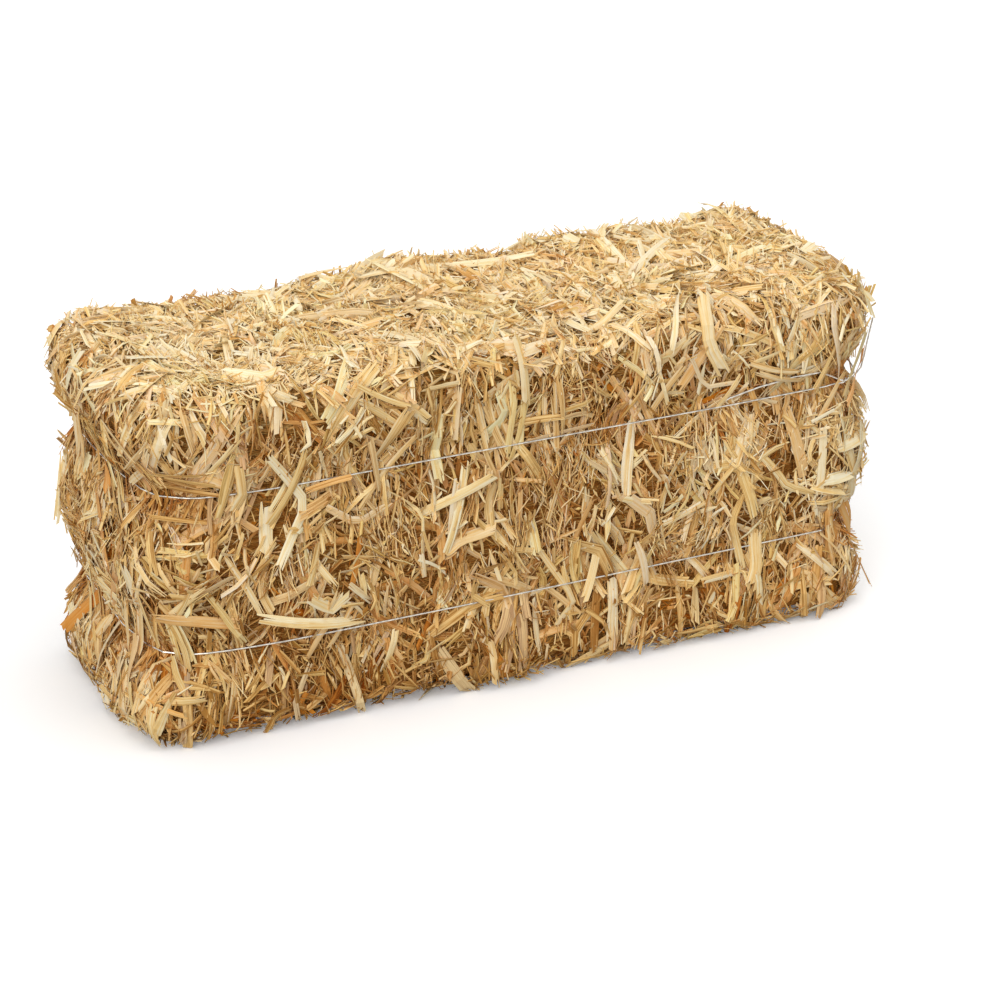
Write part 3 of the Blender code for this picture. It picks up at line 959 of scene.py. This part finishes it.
class Nodes:
    """Short helpers for building a node tree."""

    def __init__(self, tree: bpy.types.NodeTree) -> None:
        """Keeps the tree to build in."""
        self.tree = tree

    def add(self, kind: str, **settings: object) -> bpy.types.Node:
        """A new node with these settings."""
        node = self.tree.nodes.new(kind)
        for name, value in settings.items():
            setattr(node, name, value)
        return node

    def link(self, source: Socket, target: Socket) -> None:
        """Joins two sockets."""
        self.tree.links.new(source, target)

    def fill(self, socket: Socket, value: float | Colour | Socket) -> None:
        """Sets a socket to a number or a colour, or joins another socket to it."""
        if isinstance(value, Socket):
            self.link(value, socket)
        else:
            socket.default_value = (*value, 1.0) if isinstance(value, tuple) else value

    def math(self, operation: str, *values: float | Socket, clamp: bool = False) -> Socket:
        """Does a sum.

        Args:
            operation: Which one, such as MAXIMUM.
            values: Its numbers or sockets.
            clamp: Whether the result is kept from 0 to 1.

        Returns:
            The result.
        """
        node = self.add("ShaderNodeMath", operation=operation, use_clamp=clamp)
        for socket, value in zip(node.inputs, values):
            self.fill(socket, value)
        return node.outputs[0]

    def bump(self, shader: bpy.types.Node, height: Socket, distance: float, strength: float = 1.0) -> None:
        """Raises a shader's surface.

        Args:
            shader: The shader.
            height: How high, from 0 to 1.
            distance: What a height of 1 stands for, in metres.
            strength: How much of it shows.
        """
        node = self.add("ShaderNodeBump")
        node.inputs["Strength"].default_value = strength
        node.inputs["Distance"].default_value = distance
        self.link(height, node.inputs["Height"])
        self.link(node.outputs["Normal"], shader.inputs["Normal"])

    def ramp(self, factor: Socket, stops: tuple[tuple[float, Colour], ...]) -> Socket:
        """Reads a colour ramp.

        Args:
            factor: The place on it, from 0 to 1.
            stops: Its places and their colours.

        Returns:
            The colour.
        """
        node = self.add("ShaderNodeValToRGB")
        self.link(factor, node.inputs["Fac"])
        elements = node.color_ramp.elements
        while len(elements) < len(stops):
            elements.new(0.5)
        for element, (position, colour) in zip(elements, stops):
            element.position = position
            element.color = (*colour, 1.0)
        return node.outputs["Color"]

    def noise(self, vector: Socket, scale: float, detail: float = 2.0,
              stretch: Triple = (1.0, 1.0, 1.0),
              turn: Triple = (0.0, 0.0, 0.0)) -> Socket:
        """Makes noise on a stretched and turned vector.

        Args:
            vector: Where it is read.
            scale: How fine it is.
            detail: How many finer layers it has.
            stretch: How fine it is along X, Y and Z.
            turn: Its turns about X, Y and Z, in radians.

        Returns:
            A value from 0 to 1.
        """
        mapping = self.add("ShaderNodeMapping")
        mapping.inputs["Scale"].default_value = stretch
        mapping.inputs["Rotation"].default_value = turn
        self.link(vector, mapping.inputs["Vector"])
        node = self.add("ShaderNodeTexNoise")
        node.inputs["Scale"].default_value = scale
        node.inputs["Detail"].default_value = detail
        self.link(mapping.outputs["Vector"], node.inputs["Vector"])
        return node.outputs["Fac"]

    def mix(self, blend: str, factor: float | Socket,
            first: Socket | Colour, second: Socket | Colour,
            ) -> Socket:
        """Mixes two colours.

        Args:
            blend: Blend type, such as MULTIPLY.
            factor: A number or a value socket.
            first: Colour or socket below.
            second: Colour or socket on top.

        Returns:
            The mixed colour.
        """
        node = self.add("ShaderNodeMix", data_type="RGBA", blend_type=blend)
        for socket, value in ((node.inputs[0], factor), (node.inputs[6], first), (node.inputs[7], second)):
            self.fill(socket, value)
        return node.outputs[2]

    def spread(self, value: Socket, low: float, high: float,
               to_low: float = 0.0, to_high: float = 1.0) -> Socket:
        """Maps a value from one range to another, kept inside it.

        Args:
            value: The value.
            low: Where its range starts.
            high: Where it ends.
            to_low: Result at the start.
            to_high: Result at the end.

        Returns:
            The result.
        """
        node = self.add("ShaderNodeMapRange", clamp=True)
        self.link(value, node.inputs["Value"])
        for name, number in (("From Min", low), ("From Max", high), ("To Min", to_low), ("To Max", to_high)):
            node.inputs[name].default_value = number
        return node.outputs["Result"]


def fibre_group() -> bpy.types.NodeTree:
    """Builds the lengthwise fibres of a dried stem, as a node group.

    Returns:
        The group. Its input is a place along and across the stem, and its
        outputs are the fibres' lightness and height, both from 0 to 1.
    """
    group = bpy.data.node_groups.new("stem_fibres", "ShaderNodeTree")
    group.interface.new_socket("Vector", in_out="INPUT", socket_type="NodeSocketVector")
    group.interface.new_socket("Lightness", in_out="OUTPUT", socket_type="NodeSocketFloat")
    group.interface.new_socket("Height", in_out="OUTPUT", socket_type="NodeSocketFloat")
    nodes = Nodes(group)
    given = nodes.add("NodeGroupInput")
    result = nodes.add("NodeGroupOutput")
    coarse = nodes.noise(given.outputs[0], 1.0, 2.0, stretch=(14.0, 480.0, 1.0))
    fine = nodes.noise(given.outputs[0], 1.0, 3.0, stretch=(50.0, 1600.0, 1.0))
    height = nodes.math("MULTIPLY_ADD", coarse, 0.6, nodes.math("MULTIPLY", fine, 0.4))
    nodes.link(nodes.spread(height, 0.38, 0.62), result.inputs["Lightness"])
    nodes.link(height, result.inputs["Height"])
    return group


@dataclass(frozen=True)
class Finish:
    """What every finish has: a name, and a shader to build on."""

    name: str

    def material(self) -> bpy.types.Material:
        """Builds the material.

        Returns:
            The material, with this finish.
        """
        made = bpy.data.materials.new(self.name)
        made.use_nodes = True
        self.dress(Nodes(made.node_tree), made.node_tree.nodes["Principled BSDF"])
        return made

    def dress(self, nodes: Nodes, shader: bpy.types.Node) -> None:
        """Wires the finish into the shader."""
        raise NotImplementedError


@dataclass(frozen=True)
class StrawFinish(Finish):
    """Dry straw stems, each with its own tone and tint, and with painted shade.

    Attributes:
        tones: Colours from old and dark to fresh and pale.
        tinted: Colour that tinted stems lean to.
        weathered: Colour of grey, weathered stems.
        hues: What tones are multiplied by, from one tint to the next.
        blotch: What a brown blotch multiplies them by.
        shaded: What full painted shade multiplies them by.
        roughness: Least and most roughness.
    """

    tones: tuple[tuple[float, Colour], ...] = (
        (0.00, (0.400, 0.185, 0.040)),
        (0.22, (0.690, 0.425, 0.145)),
        (0.48, (0.900, 0.635, 0.270)),
        (0.76, (0.930, 0.770, 0.445)),
        (1.00, (0.960, 0.865, 0.620)))
    tinted: Colour = (0.880, 0.550, 0.165)
    weathered: Colour = (0.800, 0.730, 0.560)
    hues: tuple[tuple[float, Colour], ...] = (
        (0.22, (1.00, 1.00, 1.00)),
        (0.36, (0.97, 1.00, 0.88)),
        (0.45, (1.00, 1.00, 1.00)),
        (0.54, (1.00, 0.94, 0.99)),
        (0.66, (1.00, 1.00, 1.00)))
    blotch: Colour = (0.88, 0.66, 0.42)
    shaded: Colour = (0.78, 0.38, 0.07)
    roughness: Pair = (0.50, 0.74)

    def dress(self, nodes: Nodes, shader: bpy.types.Node) -> None:
        """Wires tone, fibres, tint and painted shade into the shader."""
        place = nodes.add("ShaderNodeUVMap", uv_map=STRAW_UV)
        look = nodes.add("ShaderNodeAttribute", attribute_name=STRAW_LOOK)
        parts = nodes.add("ShaderNodeSeparateColor")
        nodes.link(look.outputs["Color"], parts.inputs["Color"])
        fibres = nodes.add("ShaderNodeGroup", node_tree=fibre_group())
        nodes.link(place.outputs["UV"], fibres.inputs["Vector"])

        tone, tint, shade = (parts.outputs[name] for name in ("Red", "Green", "Blue"))
        shift = nodes.spread(fibres.outputs["Lightness"], 0.0, 1.0, -0.40, 0.26)
        fresh = nodes.ramp(nodes.math("ADD", tone, shift, clamp=True), self.tones)
        colour = nodes.mix("MULTIPLY", 1.0, fresh, nodes.ramp(tint, self.hues))
        colour = nodes.mix("MIX", nodes.spread(tint, 0.74, 1.0, 0.0, 0.24), colour, self.tinted)
        colour = nodes.mix("MIX", nodes.spread(tint, 0.14, 0.0, 0.0, 0.42), colour, self.weathered)
        spots = nodes.spread(nodes.noise(place.outputs["UV"], 60.0, 2.0), 0.60, 0.78, 0.0, 0.50)
        colour = nodes.mix("MULTIPLY", spots, colour, self.blotch)
        # Painted shade: deep straws, the wires' creases and the foot are multiplied towards orange-brown.
        colour = nodes.mix("MULTIPLY", shade, colour, self.shaded)
        nodes.link(colour, shader.inputs["Base Color"])

        rough = nodes.spread(fibres.outputs["Height"], 0.3, 0.7, *self.roughness)
        nodes.link(rough, shader.inputs["Roughness"])
        nodes.bump(shader, fibres.outputs["Height"], 0.0004, 0.35)
        shader.inputs["Specular IOR Level"].default_value = 0.1


@dataclass(frozen=True)
class PackedFinish(Finish):
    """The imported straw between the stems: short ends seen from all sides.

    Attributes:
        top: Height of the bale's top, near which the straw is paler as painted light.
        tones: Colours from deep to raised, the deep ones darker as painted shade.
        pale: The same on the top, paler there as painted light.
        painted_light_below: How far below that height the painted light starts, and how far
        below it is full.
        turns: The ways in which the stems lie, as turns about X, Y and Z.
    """

    top: float
    painted_light_below: Pair = (0.060, 0.035)
    tones: tuple[tuple[float, Colour], ...] = (
        (0.00, (0.300, 0.110, 0.015)),
        (0.35, (0.460, 0.200, 0.040)),
        (0.65, (0.640, 0.350, 0.095)),
        (1.00, (0.800, 0.540, 0.210)))
    pale: tuple[tuple[float, Colour], ...] = (
        (0.00, (0.310, 0.130, 0.020)),
        (0.35, (0.520, 0.285, 0.070)),
        (0.65, (0.730, 0.490, 0.180)),
        (1.00, (0.870, 0.680, 0.350)))
    turns: tuple[Triple, ...] = (
        (0.3, 0.5, 0.2), (1.2, -0.4, 0.9), (-0.7, 1.1, 2.1), (0.1, 1.9, -1.2))

    def dress(self, nodes: Nodes, shader: bpy.types.Node) -> None:
        """Lays stretched noise in several directions, as crossing stems, with painted shade in the deep
        parts and painted light near the top.
        """
        place = nodes.add("ShaderNodeTexCoord").outputs["Object"]
        stems = [nodes.noise(place, 1.0, 2.0, (45.0, 420.0, 420.0), turn) for turn in self.turns]
        height = reduce(lambda below, above: nodes.math("MAXIMUM", below, above), stems)
        height = nodes.spread(height, 0.50, 0.78)
        axes = nodes.add("ShaderNodeSeparateXYZ")
        nodes.link(place, axes.inputs["Vector"])
        # Painted light: paler near the top. In both ramps the deep parts are darker as painted shade.
        painted_light_near_top = nodes.spread(axes.outputs["Z"], *(self.top - below for below in self.painted_light_below))
        colour = nodes.mix("MIX", painted_light_near_top, nodes.ramp(height, self.tones), nodes.ramp(height, self.pale))
        nodes.link(colour, shader.inputs["Base Color"])
        nodes.bump(shader, height, 0.002)
        shader.inputs["Roughness"].default_value = 0.85
        shader.inputs["Specular IOR Level"].default_value = 0.1


@dataclass(frozen=True)
class WireFinish(Finish):
    """Dull galvanised steel with a faint spangle and darker worn spots."""

    light: Colour = (0.80, 0.77, 0.70)
    dark: Colour = (0.44, 0.41, 0.36)

    def dress(self, nodes: Nodes, shader: bpy.types.Node) -> None:
        """Wires the zinc's mottling into colour and roughness."""
        place = nodes.add("ShaderNodeTexCoord").outputs["Object"]
        mottle = nodes.noise(place, 260.0, 3.0)
        share = nodes.spread(mottle, 0.35, 0.65)
        nodes.link(nodes.mix("MIX", share, self.dark, self.light), shader.inputs["Base Color"])
        nodes.link(nodes.spread(mottle, 0.3, 0.7, 0.50, 0.30), shader.inputs["Roughness"])
        shader.inputs["Metallic"].default_value = 1.0
        nodes.bump(shader, mottle, 0.0002, 0.2)


@dataclass(frozen=True)
class Toning:
    """How much paler, darker or deeper in painted shade straw is by where it lies: mostly painted light and
    shade.

    Attributes:
        top: Paler by this on the top: painted light for the top's stronger light, and partly straw bleached
            there.
        end: Paler by this on the ends, as painted light.
        foot_painted_shade: Darker by this at the foot of the long sides, as painted shade.
        foot_painted_shade_height: How far up that painted shade goes.
        right_foot_less_painted_shade: How much less of that painted shade there is at the right end.
        right_side_painted_light: Paler by this at the right end of the sides, as painted light.
        right_top_painted_shade: Darker by this at the right end of the top, as painted shade.
        crease: Darker by this in a wire's crease, as painted shade.
        sharpness: How sharply the shade sets in with depth.
        open_top: How much less shade there is on the top.
        foot_shade: Shade at the foot of the long sides.
    """

    top: float = 0.25
    end: float = 0.11
    foot_painted_shade: float = 0.42
    foot_painted_shade_height: float = 0.11
    right_foot_less_painted_shade: float = 0.06
    right_side_painted_light: float = 0.18
    right_top_painted_shade: float = 0.06
    crease: float = 0.55
    sharpness: float = 2.2
    open_top: float = 0.70
    foot_shade: float = 0.06

    def looks(self, laying: Laying, depth: Array, level: Array, crease: Array, right: float) -> Array:
        """Works out how each piece looks.

        Args:
            laying: How the pieces lie.
            depth: How deep each lies, from 0 to 1.
            level: 1 where the skin is level on top, 0 where it is upright.
            crease: Painted shade of the wires' creases there.
            right: Place of the bale's right end.

        Returns:
            Tone, tint and shade of each piece.
        """
        # How near the foot of a long side each piece lies, for the painted shade there.
        low = np.clip(1.0 - laying.centres[:, 2] / self.foot_painted_shade_height, 0.0, 1.0)
        low *= np.abs(laying.facings[:, 1])
        rightward = laying.centres[:, 0] / right
        # Painted light: paler on the top and the ends, the top partly for bleached straw.
        paler = self.top * level + np.abs(laying.facings[:, 0]) * self.end
        # Painted shade darkens the foot of the long sides, less towards the right end.
        paler = paler - (self.foot_painted_shade - self.right_foot_less_painted_shade * rightward) * low
        # Painted light at the right of the sides, painted shade at the right of the top.
        paler += (self.right_side_painted_light * (1 - level) * np.maximum(rightward, 0.0)
                  - self.right_top_painted_shade * level * rightward)
        # A wire's crease darkens the tone as painted shade.
        tone = np.clip(laying.tones + paler - self.crease * crease, 0.0, 1.0)
        # Painted shade: more for deeper pieces, less on the top, at least the creases' shade, and a little
        # at the foot.
        shade = np.clip(depth, 0.0, 1.0) ** self.sharpness * (1 - self.open_top * level)
        shade = np.minimum(np.maximum(shade, crease) + self.foot_shade * low ** 2, 1.0)
        return np.stack([tone, laying.tints, shade], axis=1)


@dataclass
class StrawBale:
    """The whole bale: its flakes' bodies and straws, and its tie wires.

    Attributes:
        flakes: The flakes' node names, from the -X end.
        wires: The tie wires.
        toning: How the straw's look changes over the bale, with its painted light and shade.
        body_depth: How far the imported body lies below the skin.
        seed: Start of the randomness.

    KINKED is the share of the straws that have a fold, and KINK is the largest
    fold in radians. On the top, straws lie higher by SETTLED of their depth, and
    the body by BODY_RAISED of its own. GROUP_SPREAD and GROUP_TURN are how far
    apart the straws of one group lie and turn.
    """

    flakes: tuple[str, ...] = tuple(f"flake_{number}" for number in range(1, 9))
    wires: tuple[WireLevel, ...] = (WireLevel("lower_wire"), WireLevel("upper_wire"))
    toning: Toning = Toning()
    body_depth: float = 0.0092
    seed: int = 31

    KINKED = 0.28
    KINK = 1.2
    SETTLED = 0.7
    BODY_RAISED = 0.40
    GROUP_SPREAD = 0.007
    GROUP_TURN = 0.07

    def __post_init__(self) -> None:
        """Reads the frame and prepares the skin."""
        self.rng = np.random.default_rng(self.seed)
        self.skin = Skin([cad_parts[name] for name in self.flakes])
        self.ties = Ties(self.wires)
        self.bundles = (
            Bundles(self.skin, self.rng, Bundling.FAN, 420.0, (0.010, 0.010), 0.16, 22.0, (0.3, 1.0)),
            Bundles(self.skin, self.rng, Bundling.SWATH, 600.0, (0.013, 0.008), 0.22, 8.0, (0.0, 1.0)),
            Bundles(self.skin, self.rng, Bundling.SHEAF, 520.0, (0.014, 0.010), 0.14, 8.0, (0.4, 1.0)))

    def seams(self) -> list[float]:
        """Places along the bale where one flake ends and the next begins.

        Returns:
            The places, with one well before the bale and one well after it.
        """
        boxes = [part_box(name) for name in self.flakes]
        inner = [(before[1][0] + after[0][0]) / 2 for before, after in zip(boxes, boxes[1:])]
        return [-1.0] + inner + [1.0]

    def scatter(self, cut: StrawCut) -> ShapedStraw:
        """Spreads the pieces of one cut over the bale.

        Args:
            cut: Size, section and number of the pieces.

        Returns:
            The shaped pieces.
        """
        rng = self.rng
        count = round(cut.density * self.skin.area)
        centres, facings = self.skin.sample(count, rng)
        short, long = cut.length
        lengths = short + (long - short) * rng.beta(1.4, 2.4, count)
        narrow, wide = cut.width
        widths = narrow + (wide - narrow) * rng.beta(1.3, 2.2, count)
        laying = Laying(centres, facings, turns_for(facings, rng), rng.uniform(*cut.lift, count),
                        rng.normal(0.0, 0.5 * cut.tilt, count), rng.normal(0.0, cut.roll, count),
                        rng.normal(*cut.tone, count), rng.random(count),
                        np.clip(rng.normal(0.0, 0.7, count), -self.KINK, self.KINK)
                        * (rng.random(count) < self.KINKED), rng.uniform(-0.2, 0.2, count))
        draw = rng.random(count)
        for bundles, high in zip(self.bundles, np.cumsum(cut.bundled)):
            bundles.gather(laying, np.flatnonzero(draw < high), cut)
            draw = np.where(draw < high, 1.0, draw)
        level = np.clip(laying.facings[:, 2] * 1.6 - 0.6, 0.0, 1.0)
        # Depth before the top's straws are raised; it sets their painted shade.
        depth = (laying.lifts - cut.lift[1]) / (cut.lift[0] - cut.lift[1])
        laying.lifts += level * self.SETTLED * (cut.lift[1] - laying.lifts)
        laying.tilts *= 1 + 0.3 * level
        laying.rolls *= 1 + 1.4 * level
        # Painted shade of the wires' creases where each piece lies.
        crease = self.ties.shade(laying.centres, laying.facings)
        looks = self.toning.looks(laying, depth, level, crease, self.skin.box()[1][0])
        log.info("%s: %d laid", cut.name, count)
        return StrawBatch(cut, laying, lengths, widths, looks).shape(self.skin, self.ties, rng)

    def lay_loose(self) -> ShapedStraw:
        """Lays the small groups of broad straws along the wires.

        Returns:
            The shaped straws.
        """
        rng = self.rng
        each = [loose for loose in LOOSE for _ in range(loose.count)]
        count = len(each)
        spots = np.array([loose.side.spot(*self.skin.box(), loose.along, loose.up) for loose in each])
        spots += rng.normal(0.0, self.GROUP_SPREAD, (count, 3))
        facings = np.array([loose.side.value for loose in each])
        turns = np.radians([loose.turn for loose in each]) + rng.normal(0.0, self.GROUP_TURN, count)
        centres, around = self.skin.nearest(spots)
        none = np.zeros(count)
        laying = Laying(centres, facings, turns, rng.uniform(*PLACED.lift, count), none,
                        rng.normal(0.0, PLACED.roll, count), np.array([loose.tone for loose in each]),
                        np.array([loose.tint for loose in each]), none, none)
        lengths = np.array([loose.length for loose in each]) * rng.uniform(0.85, 1.0, count)
        widths = np.array([loose.width for loose in each]) * rng.uniform(0.75, 0.95, count)
        # The third channel is the painted shade of the wires' creases.
        looks = np.stack([laying.tones, laying.tints, self.ties.shade(centres, around)], axis=1)
        log.info("%s: %d laid", PLACED.name, count)
        return StrawBatch(PLACED, laying, lengths, widths, looks).shape(self.skin, self.ties, rng)

    def depth_below(self, normal: Vector) -> float:
        """How far the body lies below a spot of the skin: less on the top."""
        return self.body_depth * (1.0 - self.BODY_RAISED * max(normal.z, 0.0))

    def build_bodies(self, finish: bpy.types.Material) -> list[bpy.types.Object]:
        """Makes each flake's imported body, a little inside the skin.

        Args:
            finish: Their material.

        Returns:
            The bodies, from the -X end.
        """
        seams = self.seams()
        made = []
        for name, low, high in zip(self.flakes, seams, seams[1:]):
            shape = bmesh.new()
            shape.from_mesh(self.skin.mesh)
            shape.normal_update()
            moves = [vert.normal * self.depth_below(vert.normal) for vert in shape.verts]
            for vert, move in zip(shape.verts, moves):
                vert.co -= move
            for place, facing in ((low, -1.0), (high, 1.0)):
                if abs(place) < 1.0:
                    self.cut_off(shape, place, facing)
            mesh = bpy.data.meshes.new(f"{name}_body")
            shape.to_mesh(mesh)
            shape.free()
            mesh.shade_smooth()
            mesh.materials.append(finish)
            made.append(in_scene(f"{name}_body", mesh))
        return made

    @staticmethod
    def cut_off(shape: bmesh.types.BMesh, place: float, facing: float) -> None:
        """Cuts a body square across and closes it.

        Args:
            shape: The body.
            place: Where along the bale it is cut.
            facing: 1 to cut away what lies beyond, -1 what lies before.
        """
        cut = bmesh.ops.bisect_plane(
            shape, geom=shape.verts[:] + shape.edges[:] + shape.faces[:], dist=1e-6,
            plane_co=(place, 0.0, 0.0), plane_no=(facing, 0.0, 0.0), clear_outer=True)
        edges = [item for item in cut["geom_cut"] if isinstance(item, bmesh.types.BMEdge)]
        bmesh.ops.holes_fill(shape, edges=edges)

    def build_straws(self, finish: bpy.types.Material) -> list[bpy.types.Object]:
        """Makes each flake's straws, as one mesh a flake.

        Args:
            finish: Their material.

        Returns:
            The meshes' objects, from the -X end.
        """
        shaped = [self.scatter(cut) for cut in CUTS] + [self.lay_loose()]
        seams = self.seams()
        made = []
        for name, low, high in zip(self.flakes, seams, seams[1:]):
            mesh = StrawMesh()
            for straw in shaped:
                straw.put_in(mesh, low, high)
            straws = mesh.build(f"{name}_straws")
            straws.data.materials.append(finish)
            made.append(straws)
        return made

    def build(self) -> None:
        """Builds every piece, and says what it stands for."""
        bodies = self.build_bodies(PackedFinish("packed_straw", self.skin.box()[1][2]).material())
        straws = self.build_straws(StrawFinish("straw_stems").material())
        for name, body, stems in zip(self.flakes, bodies, straws):
            for piece in (body, stems):
                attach(piece, ROOT)
                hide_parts(name)
            faces = sum(len(poly.vertices) - 2 for poly in stems.data.polygons)
            log.info("%s: body, and straws of %d triangles", name, faces)
        zinc = WireFinish("galvanised_wire").material()
        for wire in self.wires:
            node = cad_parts[wire.node]
            node.data.materials.clear()
            node.data.materials.append(zinc)
            log.info("%s: galvanised", wire.node)


@dataclass
class Studio:
    """Pale floor, soft light and the camera.

    Attributes:
        azimuth: The camera's turn from the front, in degrees.
        elevation: Its height angle, in degrees.
        distance: From the bale's middle to the camera.
        lens: Focal length in millimetres.
        shift: Sideways and upward shift of the picture.
        aim_height: Height that the camera looks at.
        suns: Each lamp's name, where it shines from, its angle and its strength.
        floor_colour: The floor's colour for the light that it throws back.
        floor_glow: Strength of the floor's white for the camera.
        world_light: Strength of the even light all round.
    """

    azimuth: float = -25.6
    elevation: float = 23.0
    distance: float = 2.862
    lens: float = 118.9
    shift: Pair = (0.0177, -0.0254)
    aim_height: float = 0.1524
    suns: tuple[tuple[str, Triple, float, float], ...] = (
        ("key", (0.12, -0.22, 1.0), 62.0, 1.18),
        ("fill", (-0.80, -0.86, 0.58), 52.0, 1.68),
        ("back", (0.50, 0.85, 0.50), 80.0, 0.50))
    floor_colour: Colour = (0.30, 0.29, 0.28)
    floor_glow: float = 0.13
    world_light: float = 0.39

    def build(self) -> None:
        """Makes the floor, the world, the lamps and the camera."""
        self.floor()
        self.world()
        for sun in self.suns:
            self.sun(*sun)
        self.camera()
        bpy.context.scene.view_settings.view_transform = "Standard"

    @staticmethod
    def looked_at(nodes: Nodes) -> Socket:
        """Tells what sees a surface from what it lights.

        Args:
            nodes: The node tree's helpers.

        Returns:
            1 where the camera, metal or glass sees the surface, 0 for its light.
        """
        path = nodes.add("ShaderNodeLightPath")
        kinds = (path.outputs[f"Is {kind} Ray"] for kind in ("Camera", "Glossy", "Transmission"))
        return reduce(lambda seen, ray: nodes.math("MAXIMUM", seen, ray), kinds)

    def floor(self) -> None:
        """A wide pale floor that keeps the bale's shadow."""
        mesh = bpy.data.meshes.new("floor")
        shape = bmesh.new()
        bmesh.ops.create_grid(shape, x_segments=1, y_segments=1, size=30.0)
        shape.to_mesh(mesh)
        shape.free()
        surface = bpy.data.materials.new("floor")
        surface.use_nodes = True
        nodes = Nodes(surface.node_tree)
        shader = surface.node_tree.nodes["Principled BSDF"]
        shader.inputs["Roughness"].default_value = 1.0
        shader.inputs["Specular IOR Level"].default_value = 0.0
        seen = nodes.mix("MIX", self.looked_at(nodes), self.floor_colour, (1.0, 1.0, 1.0))
        nodes.link(seen, shader.inputs["Base Color"])
        glow = nodes.mix("MIX", self.looked_at(nodes), (0.0, 0.0, 0.0), (1.0, 1.0, 1.0))
        nodes.link(glow, shader.inputs["Emission Color"])
        shader.inputs["Emission Strength"].default_value = self.floor_glow
        mesh.materials.append(surface)
        in_scene("floor", mesh)

    def world(self) -> None:
        """Even soft light, white where the camera, metal or glass sees it."""
        world = bpy.data.worlds.new("studio")
        bpy.context.scene.world = world
        world.use_nodes = True
        nodes = Nodes(world.node_tree)
        background = world.node_tree.nodes["Background"]
        strength = nodes.spread(self.looked_at(nodes), 0.0, 1.0, self.world_light, 1.0)
        nodes.link(strength, background.inputs["Strength"])
        background.inputs["Color"].default_value = (1.0, 1.0, 1.0, 1.0)

    @staticmethod
    def sun(name: str, place: Triple, width: float, strength: float) -> None:
        """A broad, far lamp, such as a large soft box overhead.

        Args:
            name: Its name.
            place: Direction that it shines from.
            width: Its angle across, in degrees.
            strength: In watts a square metre.
        """
        light = bpy.data.lights.new(name, "SUN")
        light.angle = math.radians(width)
        light.energy = strength
        in_scene(name, light).rotation_euler = Vector(place).to_track_quat("Z", "Y").to_euler()

    def camera(self) -> None:
        """The camera, and the scene's choice of it."""
        turn, rise = math.radians(self.azimuth), math.radians(self.elevation)
        back = Vector((math.sin(turn) * math.cos(rise), -math.cos(turn) * math.cos(rise), math.sin(rise)))
        data = bpy.data.cameras.new("camera")
        data.lens = self.lens
        data.shift_x, data.shift_y = self.shift
        camera = in_scene("camera", data)
        camera.location = Vector((0.0, 0.0, self.aim_height)) + back * self.distance
        camera.rotation_euler = back.to_track_quat("Z", "Y").to_euler()
        bpy.context.scene.camera = camera


def main() -> None:
    """Builds the bale and the studio around it."""
    logging.basicConfig(level=logging.INFO, format="%(name)s: %(message)s")
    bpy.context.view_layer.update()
    StrawBale().build()
    Studio().build()


if __name__ == "__main__":
    main()
